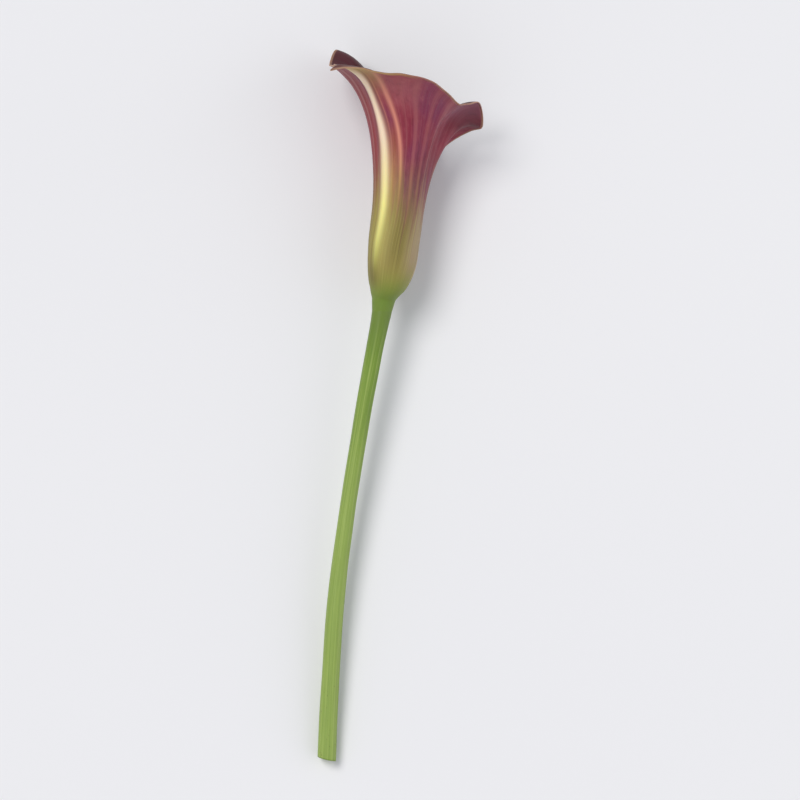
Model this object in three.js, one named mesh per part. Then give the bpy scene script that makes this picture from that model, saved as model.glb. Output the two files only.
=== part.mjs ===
// An arum lily flower as picked: a cut stem, the rolled spathe with its recurved tip, and the spadix inside.
// Millimetres, +Z up. The flower lies on its far side along +Y, with the bloom at +Y and the cut end at -Y.
//
// It is drawn standing first: the stem ends at the origin, the spathe rises from there, X runs to the right,
// Y away from the side that shows, and Z up. Then it is laid down, with that side up.
// A bearing is the angle round the spathe from its midrib, in degrees, up to END_BEARING each way:
// past 180 the two margins lie over each other.
import * as THREE from 'three';
import { mergeVertices } from 'three/addons/utils/BufferGeometryUtils.js';

// Stem. Its centre line is a list of [x, z] below the spathe, and its radius is set along its length.
const STEM_LINE = [[0, -0.7], [-4.2, -20], [-9.5, -48], [-15, -83], [-19, -115], [-21.2, -148],
  [-22.4, -174]];
const STEM_RADII = [[0, 4.2], [0.015, 3.75], [0.12, 3.3], [0.4, 3.05], [0.7, 3.35], [1, 3.6]];
const STEM_SIDES = 16;
const STEM_RINGS = 40;
const STEM_CROWDING = 1.2;    // rings stand closer near the top
const SEAT_RADIUS = 2.1;      // the boss on top that carries the spadix
const SEAT_HEIGHT = 1.6;
const GAP = 0.3;              // between pieces that touch

// Spathe: the tube's profile, from its narrow foot to its even wall.
const TUBE_RADIUS = 9.05;
const FOOT_DROP = 5.35;       // how much narrower the foot is
const FOOT_FADE = 4.5;        // height over which it widens
const TUBE_WIDENING = 0.01;
const TUBE_LEAN = 7.3;        // degrees to the right
const FLARE_START = 32;       // highest start of the flare
const FLARE_STIFFNESS = 0.6;  // how long the flare keeps the tube's direction
const RIM_STIFFNESS = 0.3;    // how early it takes the rim's direction
const TUBE_ONLY = [20, 48];   // a column that ends below the first height is all tube, past the second flared

// The rim: [bearing, radius, height, how far it leans out from upright in degrees].
const RIM = [
  [-226, 9.2, 2, 3], [-216, 9.2, 12, 2], [-202, 9.3, 31, 6], [-186, 11.8, 49, 28], [-168, 20.5, 62, 62],
  [-150, 28.2, 70, 88], [-128, 28.6, 76, 90], [-106, 32, 82, 88], [-86, 33.5, 88, 84], [-68, 33, 91, 78],
  [-45, 32.5, 85, 82], [-20, 35, 85, 92], [0, 40, 85.5, 98], [20, 33.8, 85.5, 85], [45, 29.4, 84.8, 66],
  [68, 26.2, 82.3, 60], [90, 23.6, 78, 60], [105, 23.6, 76.4, 72], [123, 26, 76.8, 100],
  [140, 27.3, 70.6, 118], [157, 25.4, 65, 105], [172, 18, 57.5, 62], [186, 11.6, 47.5, 24],
  [202, 9.3, 31, 5], [216, 9.2, 12, 2], [226, 9.2, 2, 3],
];
const END_BEARING = 226;
const TIP_HOOK = { width: 5, power: 1.2, radius: 6.4, height: -3.2, turn: 40 };
const MIDRIB_FOOT = -50;      // where the midrib stands, in degrees left of the side that shows
const MIDRIB_TOP = -42.5;
const MIDRIB_RISE = 56;       // height over which it turns
const FOOT_HALF = 181;        // the sheet goes this far round each way at its foot
const OVERLAP_START = 1.5;    // length up a column where the overlap opens out
const OVERLAP_LENGTH = 20;
const OVERLAP_OFFSET = 1.7;   // between the middles of the two layers
const OVERLAP_SIDE = [100, 175];
const OVERLAP_FOOT = 0.8;     // share of that offset at the foot
const OVERLAP_RISE = 7;
const WALL = 1.15;
const EDGE = 0.55;            // the wall thins to this at the rim and the margins
const EDGE_TAPER = 7;
const MARGIN_SCALE = 0.16;    // millimetres from the margin for each degree
const MIDRIB_RIDGE = 0.4;     // how proud the midrib stands outside
const MIDRIB_WIDTH = 7;
const COLUMNS = 60;
const ROWS = 23;
const TIP_CROWDING = 1.3;     // columns stand closer near the midrib
const COLUMN_STEPS = 40;

// Spadix: [height, radius] from its foot to its tip.
const SPADIX = [[0, 2.1], [1.2, 2.7], [4, 3.0], [9, 3.0], [12, 2.75], [13, 2.45], [16, 2.6], [24, 2.6],
  [31, 2.35], [35, 1.9], [37.2, 1.2]];
const SPADIX_LENGTH = 38;
const SPADIX_SIDES = 20;

// Lying down.
const PITCH = 5.02;           // degrees that the bloom is lifted by its own flare
const PLACE = new THREE.Vector3(-5.33, 39.27, 18.746);  // puts the lying flower's base over the origin
const RIM_REST = 0.1;         // the rim's middle line stays this high
const RIM_SOFTNESS = 1.2;     // a column whose rim would come lower than this gives way

const rad = THREE.MathUtils.degToRad;
const mix = THREE.MathUtils.lerp;
const smooth = (x, start = 0, end = 1) => THREE.MathUtils.smoothstep(x, start, end);

// A smooth curve through rows of [x, y1, y2, ...], read at x: one value, or one for each y.
function readCurve(rows, x) {
  const last = rows.length - 1;
  let low = 0;
  while (low < last - 1 && x >= rows[low + 1][0]) low += 1;
  const slope = (index, column) => {
    const [before, after] = [rows[Math.max(index - 1, 0)], rows[Math.min(index + 1, last)]];
    return (after[column] - before[column]) / (after[0] - before[0]);
  };
  const [from, to] = [rows[low], rows[low + 1]];
  const span = to[0] - from[0];
  const t = (x - from[0]) / span;
  const values = from.slice(1).map((_, k) => {
    const column = k + 1;
    const blend = 3 * t ** 2 - 2 * t ** 3;
    return mix(from[column], to[column], blend)
      + span * ((t ** 3 - 2 * t ** 2 + t) * slope(low, column) + (t ** 3 - t ** 2) * slope(low + 1, column));
  });
  return values.length > 1 ? values : values[0];
}

// Turns a standing point to the lying flower.
function lay(point) {
  const [cos, sin] = [Math.cos(rad(PITCH)), Math.sin(rad(PITCH))];
  const [along, up] = [point.z, -point.y];
  return new THREE.Vector3(point.x, along * cos - up * sin, up * cos + along * sin).add(PLACE);
}

// How far a column's rim is pushed up by the surface it rests on.
function push(rimHeight) {
  const above = rimHeight - RIM_REST;
  if (above > RIM_SOFTNESS) return 0;
  return above < -RIM_SOFTNESS ? -above : (RIM_SOFTNESS - above) ** 2 / (4 * RIM_SOFTNESS);
}

// Leans a point of the tube with the tube.
function lean(point) {
  return point.applyAxisAngle(new THREE.Vector3(0, 1, 0), rad(TUBE_LEAN));
}

const tubeRadius = (z) => TUBE_RADIUS - FOOT_DROP * Math.exp(-z / FOOT_FADE) + TUBE_WIDENING * z;

// One column of the sheet, from its foot to the rim, as points [radius, height] evenly spaced along it.
function sheetColumn(bearing, steps) {
  const hook = Math.exp(-(Math.abs(bearing / TIP_HOOK.width) ** TIP_HOOK.power));
  const [rimRadius, rimHeight, rimTurn] = readCurve(RIM, bearing);
  const top = new THREE.Vector2(rimRadius + TIP_HOOK.radius * hook, rimHeight + TIP_HOOK.height * hook);
  const turn = rad(rimTurn + TIP_HOOK.turn * hook);
  const start = Math.min(FLARE_START, top.y / 2);
  const foot = new THREE.Vector2(tubeRadius(start), start);
  const slope = FOOT_DROP / FOOT_FADE * Math.exp(-start / FOOT_FADE) + TUBE_WIDENING;
  const rise = FLARE_STIFFNESS * (top.y - start);
  const reach = RIM_STIFFNESS * foot.distanceTo(top);
  const flare = new THREE.CubicBezierCurve(foot, new THREE.Vector2(foot.x + slope * rise, foot.y + rise),
    new THREE.Vector2(top.x - reach * Math.sin(turn), top.y - reach * Math.cos(turn)), top);
  const flared = smooth(top.y, ...TUBE_ONLY);
  const points = [];
  for (let i = 0; i < COLUMN_STEPS; i += 1) {
    const z = start * i / COLUMN_STEPS;
    points.push(new THREE.Vector2(tubeRadius(z), z));
  }
  for (let i = 0; i <= COLUMN_STEPS; i += 1) {
    const z = mix(start, top.y, i / COLUMN_STEPS);
    points.push(new THREE.Vector2(tubeRadius(z), z).lerp(flare.getPoint(i / COLUMN_STEPS), flared));
  }
  const path = new THREE.Path(points);
  path.arcLengthDivisions = 8 * COLUMN_STEPS;
  return { points: path.getSpacedPoints(steps), length: path.getLength() };
}

// The middle of the sheet as rows of lying points, with the wall's thickness and the midrib's ridge at each.
function sheetMiddle() {
  const columns = [];
  for (let j = 0; j <= COLUMNS; j += 1) {
    const across = 2 * j / COLUMNS - 1;
    const bearing = END_BEARING * Math.sign(across) * Math.abs(across) ** TIP_CROWDING;
    const side = Math.sign(across);
    const ridge = MIDRIB_RIDGE * Math.exp(-((bearing / MIDRIB_WIDTH) ** 2));
    const { points, length } = sheetColumn(bearing, ROWS);
    const column = points.map((point, i) => {
      const run = length * i / ROWS;
      const opened = smooth(run, OVERLAP_START, OVERLAP_START + OVERLAP_LENGTH);
      const spread = bearing * mix(FOOT_HALF / END_BEARING, 1, opened);
      const offset = side * OVERLAP_OFFSET / 2 * smooth(Math.abs(bearing), ...OVERLAP_SIDE)
        * mix(OVERLAP_FOOT, 1, smooth(run, 0, OVERLAP_RISE));
      const turn = rad(mix(MIDRIB_FOOT, MIDRIB_TOP, smooth(point.y, 0, MIDRIB_RISE)) + spread);
      const radius = point.x + offset;
      const place = lean(new THREE.Vector3(radius * Math.sin(turn), -radius * Math.cos(turn), point.y));
      const edge = Math.min(length - run, (END_BEARING - Math.abs(bearing)) * MARGIN_SCALE);
      return {
        point: lay(place),
        wall: mix(EDGE, WALL, smooth(edge, 0, EDGE_TAPER)),
        ridge: ridge * smooth(length - run, 0, EDGE_TAPER),
      };
    });
    const raised = push(column[ROWS].point.z);
    column.forEach(({ point }, i) => {
      point.z += raised * (i / ROWS) ** 3;
    });
    columns.push(column);
  }
  return columns;
}

// A closed body from points and triangles, with its faces turned outwards.
function closedBody(points, triangles) {
  const geometry = new THREE.BufferGeometry().setFromPoints(points);
  const volume = triangles.reduce((sum, [a, b, c]) => sum
    + points[a].dot(new THREE.Vector3().crossVectors(points[b], points[c])), 0);
  geometry.setIndex(triangles.flatMap(([a, b, c]) => (volume > 0 ? [a, b, c] : [a, c, b])));
  return geometry;
}

// A solid through rings of points, closed with a fan at each end.
function loftRings(rings) {
  const sides = rings[0].length;
  const points = rings.flat();
  const triangles = [];
  for (let i = 0; i < rings.length - 1; i += 1) {
    for (let k = 0; k < sides; k += 1) {
      const [a, b] = [i * sides + k, i * sides + (k + 1) % sides];
      triangles.push([a, b, b + sides], [a, b + sides, a + sides]);
    }
  }
  for (const [first, flip] of [[0, true], [(rings.length - 1) * sides, false]]) {
    const ring = points.slice(first, first + sides);
    const centre = ring.reduce((sum, point) => sum.add(point), new THREE.Vector3()).divideScalar(sides);
    const middle = points.push(centre) - 1;
    for (let k = 0; k < sides; k += 1) {
      const [a, b] = [first + k, first + (k + 1) % sides];
      triangles.push(flip ? [middle, b, a] : [middle, a, b]);
    }
  }
  return closedBody(points, triangles);
}

// The spathe: the sheet's middle given its wall, with a strip closing it all the way round its edge.
function spatheGeometry() {
  const columns = sheetMiddle();
  const at = (j, i) => columns[Math.min(Math.max(j, 0), COLUMNS)][Math.min(Math.max(i, 0), ROWS)].point;
  const outer = [];
  const inner = [];
  for (let j = 0; j <= COLUMNS; j += 1) {
    for (let i = 0; i <= ROWS; i += 1) {
      const { point, wall, ridge } = columns[j][i];
      const across = at(j + 1, i).clone().sub(at(j - 1, i));
      const along = at(j, i + 1).clone().sub(at(j, i - 1));
      const out = across.cross(along).normalize();
      outer.push(point.clone().addScaledVector(out, wall / 2 + ridge));
      inner.push(point.clone().addScaledVector(out, -wall / 2));
    }
  }
  const rows = ROWS + 1;
  const count = outer.length;
  const triangles = [];
  for (let j = 0; j < COLUMNS; j += 1) {
    for (let i = 0; i < ROWS; i += 1) {
      const [a, b, c, d] = [j * rows + i, (j + 1) * rows + i, (j + 1) * rows + i + 1, j * rows + i + 1];
      triangles.push([a, b, c], [a, c, d]);
      triangles.push([count + a, count + c, count + b], [count + a, count + d, count + c]);
    }
  }
  const border = [];
  for (let j = 0; j < COLUMNS; j += 1) border.push(j * rows);
  for (let i = 0; i < ROWS; i += 1) border.push(COLUMNS * rows + i);
  for (let j = COLUMNS; j > 0; j -= 1) border.push(j * rows + ROWS);
  for (let i = ROWS; i > 0; i -= 1) border.push(i);
  border.forEach((a, k) => {
    const b = border[(k + 1) % border.length];
    triangles.push([a, count + a, count + b], [a, count + b, b]);
  });
  return closedBody([...outer, ...inner], triangles);
}

// The stem: rings along its line, then the narrower seat on top.
function stemGeometry() {
  const line = new THREE.CatmullRomCurve3(STEM_LINE.map(([x, z]) => new THREE.Vector3(x, 0, z)));
  const depth = new THREE.Vector3(0, 1, 0);
  const ring = (centre, direction, radius) => {
    const sideways = new THREE.Vector3().crossVectors(depth, direction).normalize();
    return Array.from({ length: STEM_SIDES }, (_, k) => {
      const angle = 2 * Math.PI * (k + 0.5) / STEM_SIDES;
      return lay(centre.clone().addScaledVector(sideways, radius * Math.cos(angle))
        .addScaledVector(depth, radius * Math.sin(angle)));
    });
  };
  const down = lean(new THREE.Vector3(0, 0, -1));
  const top = line.getPoint(0);
  const rings = [
    ring(top.clone().addScaledVector(down, -SEAT_HEIGHT), down, SEAT_RADIUS),
    ring(top, down, SEAT_RADIUS),
    ring(top, down, readCurve(STEM_RADII, 0)),
  ];
  for (let i = 1; i <= STEM_RINGS; i += 1) {
    const t = (i / STEM_RINGS) ** STEM_CROWDING;
    rings.push(ring(line.getPointAt(t), line.getTangentAt(t), readCurve(STEM_RADII, t)));
  }
  return loftRings(rings);
}

// The spadix: a turned rod that stands on the stem's seat, along the tube.
function spadixGeometry() {
  const foot = STEM_LINE[0][1] + SEAT_HEIGHT + GAP;
  const profile = [new THREE.Vector2(0, 0), ...SPADIX.map(([z, radius]) => new THREE.Vector2(radius, z)),
    new THREE.Vector2(0, SPADIX_LENGTH)];
  const lathe = new THREE.LatheGeometry(profile, SPADIX_SIDES);
  lathe.deleteAttribute('normal');
  lathe.deleteAttribute('uv');
  const merged = mergeVertices(lathe, 1e-4);
  const places = merged.getAttribute('position');
  const points = [];
  for (let i = 0; i < places.count; i += 1) {
    const turned = new THREE.Vector3().fromBufferAttribute(places, i);
    points.push(lay(lean(new THREE.Vector3(turned.x, turned.z, turned.y + foot))));
  }
  const index = Array.from(merged.index.array);
  const triangles = [];
  for (let k = 0; k < index.length; k += 3) {
    const corners = index.slice(k, k + 3);
    if (new Set(corners).size === 3) triangles.push(corners);
  }
  return closedBody(points, triangles);
}

function piece(name, geometry, color, roughness) {
  const mesh = new THREE.Mesh(geometry, new THREE.MeshStandardMaterial({ color, roughness, metalness: 0 }));
  mesh.name = name;
  return mesh;
}

const flower = new THREE.Group();
flower.add(
  piece('stem', stemGeometry(), '#8caa4b', 0.45),
  piece('spathe', spatheGeometry(), '#86404f', 0.4),
  piece('spadix', spadixGeometry(), '#f0b45a', 0.8),
);

export default flower;
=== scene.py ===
"""An arum lily flower as picked, lying on a pale floor: a cut stem, a rolled spathe and the spadix inside.

Every piece is worked out in millimetres for a standing flower: the stem ends at the origin, the spathe rises
from there, X runs to the right, Y away from the side that shows, and Z up. Pose then lays it down, and the
meshes are written in metres. A bearing is the angle round the spathe from its midrib, in degrees; past 180
the two margins lie over each other.
"""

import logging
import math
from dataclasses import dataclass, field
from enum import Enum
from typing import Any, Sequence

import bpy
import numpy as np
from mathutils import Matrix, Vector, kdtree


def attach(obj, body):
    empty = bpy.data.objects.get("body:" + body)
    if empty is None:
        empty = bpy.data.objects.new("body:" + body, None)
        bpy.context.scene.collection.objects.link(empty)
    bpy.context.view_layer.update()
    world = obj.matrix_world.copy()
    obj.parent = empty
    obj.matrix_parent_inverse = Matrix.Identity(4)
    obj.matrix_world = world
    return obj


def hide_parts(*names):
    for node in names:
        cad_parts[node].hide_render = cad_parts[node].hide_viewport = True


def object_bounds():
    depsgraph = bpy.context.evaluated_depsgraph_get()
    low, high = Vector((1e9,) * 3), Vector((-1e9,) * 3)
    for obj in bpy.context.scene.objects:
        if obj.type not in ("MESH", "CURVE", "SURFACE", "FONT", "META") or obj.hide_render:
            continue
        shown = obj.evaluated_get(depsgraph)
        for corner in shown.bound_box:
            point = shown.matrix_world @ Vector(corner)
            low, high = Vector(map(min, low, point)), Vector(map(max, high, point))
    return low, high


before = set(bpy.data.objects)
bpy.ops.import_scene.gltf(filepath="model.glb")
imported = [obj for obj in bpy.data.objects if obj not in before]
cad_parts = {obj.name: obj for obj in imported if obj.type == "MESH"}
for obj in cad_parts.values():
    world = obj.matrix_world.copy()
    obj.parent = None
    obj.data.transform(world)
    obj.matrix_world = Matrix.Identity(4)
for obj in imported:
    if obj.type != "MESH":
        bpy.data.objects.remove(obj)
CAD_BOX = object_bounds()

log = logging.getLogger("flower")

MM = 0.001
BODY = "root"
GOLDEN_ANGLE = math.radians(137.508)
# The area of a hexagonal cell whose neighbours stand one unit away.
HEXAGON = 0.866
# More points to a square metre than the spacing lets stand.
DENSE = 1e9
Rows = Sequence[Sequence[float]]
Pair = tuple[float, float]
Triple = tuple[float, float, float]
# Where a soft step starts and ends, and its value at each.
Step = tuple[float, float, float, float]
Colour = tuple[float, float, float, float]


# ----------------------------------------------------------------------------------------------------------
# Numbers and curves
# ----------------------------------------------------------------------------------------------------------

def smooth(x: np.ndarray | float, start: float = 0.0, end: float = 1.0) -> np.ndarray:
    """A soft step from 0 at start to 1 at end."""
    t = np.clip((np.asarray(x, float) - start) / (end - start), 0, 1)
    return t * t * (3 - 2 * t)


def mix(a: Any, b: Any, t: Any) -> Any:
    """From a at t = 0 to b at t = 1."""
    return a + (b - a) * t


def bell(x: np.ndarray, centre: float, width: float) -> np.ndarray:
    """A bell curve of height 1."""
    return np.exp(-((x - centre) / width) ** 2)


def soft_max(a: np.ndarray, b: np.ndarray | float, softness: float) -> np.ndarray:
    """The larger of a and b, with the corner between them rounded."""
    return (a + b) / 2 + np.sqrt(((a - b) / 2) ** 2 + softness ** 2)


def unit(vectors: np.ndarray) -> np.ndarray:
    """Vectors along the last axis, made one long."""
    return vectors / (np.linalg.norm(vectors, axis=-1, keepdims=True) + 1e-12)


def lengths(*parts: np.ndarray) -> np.ndarray:
    """How far along a line each of its points is, the line's points running down the first axis."""
    steps = np.sqrt(sum(np.diff(part, axis=0) ** 2 for part in parts))
    return np.concatenate([np.zeros_like(steps[:1]), np.cumsum(steps, axis=0)])


def read_curve(rows: Rows, x: np.ndarray | float) -> list[np.ndarray]:
    """A smooth curve through rows of (x, y1, y2, ...).

    Args:
        rows: the stations, in order of x.
        x: where to read it.

    Returns:
        One array of the shape of x for each y.
    """
    table = np.array(rows, float)
    xs, x = table[:, 0], np.asarray(x, float)
    low = np.clip(np.searchsorted(xs, x, side="right") - 1, 0, len(xs) - 2)
    span = xs[low + 1] - xs[low]
    t = (x - xs[low]) / span
    values = []
    for ys in table.T[1:]:
        slopes = np.empty_like(ys)
        slopes[1:-1] = (ys[2:] - ys[:-2]) / (xs[2:] - xs[:-2])
        slopes[0] = (ys[1] - ys[0]) / (xs[1] - xs[0])
        slopes[-1] = (ys[-1] - ys[-2]) / (xs[-1] - xs[-2])
        bend = (t ** 3 - 2 * t ** 2 + t) * slopes[low] + (t ** 3 - t ** 2) * slopes[low + 1]
        values.append(mix(ys[low], ys[low + 1], 3 * t ** 2 - 2 * t ** 3) + span * bend)
    return values


def ripple(x: np.ndarray, y: np.ndarray, seed: int, waves: int = 7) -> np.ndarray:
    """Gentle irregular waves over a plane, mostly between -1 and 1.

    Args:
        x: places, in wavelengths.
        y: places across x, in wavelengths.
        seed: fixes the waves' directions and phases.
        waves: how many are added up.

    Returns:
        The height at each place.
    """
    draw = np.random.default_rng(seed)
    total = np.zeros(np.broadcast(x, y).shape)
    for _ in range(waves):
        turn, phase = draw.uniform(0, 2 * math.pi, 2)
        pace = 2 * math.pi * draw.uniform(0.6, 1.5)
        total += np.sin(pace * (x * math.cos(turn) + y * math.sin(turn)) + phase)
    return total / math.sqrt(waves)


@dataclass(frozen=True)
class Waves:
    """Irregular waves: their height, their length in both directions, and the seed that draws them."""

    height: float
    across: float
    along: float
    seed: int

    def read(self, x: np.ndarray, y: np.ndarray) -> np.ndarray:
        """The waves at each place."""
        return self.height * ripple(x / self.across, y / self.along, self.seed)


def srgb(red: float, green: float, blue: float) -> Colour:
    """A colour as it looks on a screen, 0 to 255 each, as the linear colour that shaders use."""
    def linear(value: float) -> float:
        """One channel, 0 to 1."""
        return value / 12.92 if value <= 0.04045 else ((value + 0.055) / 1.055) ** 2.4
    return (*(linear(c / 255) for c in (red, green, blue)), 1.0)


@dataclass(frozen=True)
class Pose:
    """How the standing flower is laid down: its shown side up, its bloom along +Y, lifted by its flare."""

    pitch: float = 5.02
    place: Triple = (-5.33, 39.27, 18.746)
    lean: float = 7.3

    def lay(self, points: np.ndarray) -> np.ndarray:
        """Standing points as lying points, in millimetres."""
        cos, sin = math.cos(math.radians(self.pitch)), math.sin(math.radians(self.pitch))
        along, up = points[..., 2], -points[..., 1]
        laid = np.stack([points[..., 0], along * cos - up * sin, up * cos + along * sin], -1)
        return laid + np.array(self.place)

    def tilt(self, points: np.ndarray) -> np.ndarray:
        """Points of an upright tube as points of the leaning tube."""
        cos, sin = math.cos(math.radians(self.lean)), math.sin(math.radians(self.lean))
        x, y, z = points[..., 0], points[..., 1], points[..., 2]
        return np.stack([x * cos + z * sin, y, z * cos - x * sin], -1)

    def turn(self, directions: np.ndarray) -> np.ndarray:
        """Directions in the upright tube as directions in the lying flower."""
        return self.lay(self.tilt(directions)) - np.array(self.place)

    def facing(self) -> Vector:
        """The direction from the flower to an eye that looks square on its flat side."""
        angle = math.radians(self.pitch)
        return Vector((0, -math.sin(angle), math.cos(angle)))


POSE = Pose()


# ----------------------------------------------------------------------------------------------------------
# Shader and geometry trees
# ----------------------------------------------------------------------------------------------------------

class Sock:
    """A node's output, on which Python's operators work by adding Math nodes."""

    def __init__(self, nodes: "Nodes", node: bpy.types.Node, output: int | str = 0) -> None:
        """Wraps one output of a node; a node with none has no socket here."""
        self.nodes, self.node = nodes, node
        self.socket = node.outputs[output] if len(node.outputs) else None

    def out(self, output: int | str) -> "Sock":
        """Another output of the same node."""
        return Sock(self.nodes, self.node, output)

    def _math(self, operation: str, *values: Any) -> "Sock":
        """One Math node on these values."""
        return self.nodes.add("ShaderNodeMath", {"operation": operation}, dict(enumerate(values)))

    def __add__(self, other: Any) -> "Sock":
        """self + other."""
        return self._math("ADD", self, other)

    def __sub__(self, other: Any) -> "Sock":
        """self - other."""
        return self._math("SUBTRACT", self, other)

    def __mul__(self, other: Any) -> "Sock":
        """self * other."""
        return self._math("MULTIPLY", self, other)

    def __truediv__(self, other: Any) -> "Sock":
        """self / other."""
        return self._math("DIVIDE", self, other)

    def __rsub__(self, other: Any) -> "Sock":
        """other - self."""
        return self._math("SUBTRACT", other, self)

    __radd__, __rmul__ = __add__, __mul__

    def abs(self) -> "Sock":
        """Its size without its sign."""
        return self._math("ABSOLUTE", self)

    def step(self, start: float, end: float, low: float = 0.0, high: float = 1.0) -> "Sock":
        """A soft step from low at start to high at end."""
        return self.nodes.add("ShaderNodeMapRange", {"interpolation_type": "SMOOTHSTEP"}, {
            "Value": self, "From Min": start, "From Max": end, "To Min": low, "To Max": high})

    def bell(self, centre: float, width: float) -> "Sock":
        """A bell of height 1 about centre."""
        share = (self - centre) / width
        return self._math("EXPONENT", share * share * -1.0)


class Nodes:
    """Adds nodes to a shader or geometry tree."""

    def __init__(self, tree: bpy.types.NodeTree) -> None:
        """Takes a tree and empties it."""
        self.tree = tree
        tree.nodes.clear()

    def add(self, kind: str, settings: dict[str, Any] | None = None,
            inputs: dict[Any, Any] | None = None) -> Sock:
        """Adds a node.

        Args:
            kind: the node's type.
            settings: its properties, set first; "stops" gives a ramp's (place, colour) pairs.
            inputs: a value, a Sock or a list of Socks for each input socket, by name or number.

        Returns:
            The node's first output.
        """
        node = self.tree.nodes.new(kind)
        for name, value in (settings or {}).items():
            if name == "stops":
                self._set_stops(node.color_ramp, value)
            else:
                setattr(node, name, value)
        for key, value in (inputs or {}).items():
            if isinstance(value, (Sock, list)):
                for sock in value if isinstance(value, list) else [value]:
                    self.tree.links.new(sock.socket, node.inputs[key])
            else:
                node.inputs[key].default_value = value
        return Sock(self, node)

    @staticmethod
    def _set_stops(ramp: bpy.types.ColorRamp, stops: Sequence[tuple[float, Colour]]) -> None:
        """Gives a colour ramp its stops."""
        while len(ramp.elements) < len(stops):
            ramp.elements.new(0.5)
        for element, (place, colour) in zip(ramp.elements, stops):
            element.position, element.color = place, colour

    def reads(self, name: str) -> Sock:
        """A number stored on the mesh under that name."""
        return self.add("ShaderNodeAttribute", {"attribute_name": name}).out("Fac")

    def blend(self, factor: Any, a: Any, b: Any) -> Sock:
        """From colour a at factor 0 to colour b at 1."""
        return self.add("ShaderNodeMix", {"data_type": "RGBA"}, {0: factor, 6: a, 7: b}).out(2)

    def ramp(self, value: Sock, start: float, end: float, colours: Sequence[Colour]) -> Sock:
        """Evenly spaced colours from value start to value end."""
        share = self.add("ShaderNodeMapRange", inputs={"Value": value, "From Min": start, "From Max": end})
        stops = [(k / (len(colours) - 1), colour) for k, colour in enumerate(colours)]
        return self.add("ShaderNodeValToRGB", {"stops": stops}, {0: share})

    def point(self, x: Any, y: Any, z: Any) -> Sock:
        """Three numbers as a vector."""
        return self.add("ShaderNodeCombineXYZ", inputs={"X": x, "Y": y, "Z": z})

    def noise(self, place: Sock, scale: float, detail: float = 2.0, rough: float = 0.5) -> Sock:
        """Cloudy noise from 0 to 1."""
        return self.add("ShaderNodeTexNoise", inputs={
            "Vector": place, "Scale": scale, "Detail": detail, "Roughness": rough})


@dataclass(frozen=True)
class Shine:
    """The constants of a finish, set straight on the shader."""

    coat: float = 0.0
    coat_roughness: float = 0.3
    sheen: float = 0.0
    through: float = 0.0
    depth: float = 0.001
    scatter: Triple = (1.0, 0.5, 0.3)
    gloss: float = 0.5


@dataclass(frozen=True)
class Look:
    """What changes over a finish: colour, roughness, and a relief from 0 to 1 that stands depth metres."""

    colour: Sock
    roughness: Sock
    relief: Sock
    depth: float


class Finish:
    """A procedural material; each kind says how it is painted."""

    name = "finish"
    shine = Shine()

    def paint(self, nodes: Nodes) -> Look:
        """What changes over the surface."""
        raise NotImplementedError

    def material(self) -> bpy.types.Material:
        """The material: one Principled shader with this finish's constants and its look."""
        material = bpy.data.materials.new(self.name)
        material.use_nodes = True
        nodes = Nodes(material.node_tree)
        look = self.paint(nodes)
        bumped = nodes.add("ShaderNodeBump", inputs={
            "Strength": 1.0, "Distance": look.depth, "Height": look.relief})
        shader = nodes.add("ShaderNodeBsdfPrincipled", inputs={
            "Base Color": look.colour, "Roughness": look.roughness, "Normal": bumped,
            "Coat Weight": self.shine.coat, "Coat Roughness": self.shine.coat_roughness,
            "Sheen Weight": self.shine.sheen, "Specular IOR Level": self.shine.gloss,
            "Subsurface Weight": self.shine.through, "Subsurface Scale": self.shine.depth,
            "Subsurface Radius": self.shine.scatter})
        nodes.add("ShaderNodeOutputMaterial", inputs={"Surface": shader})
        return material


# ----------------------------------------------------------------------------------------------------------
# Meshes
# ----------------------------------------------------------------------------------------------------------

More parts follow.
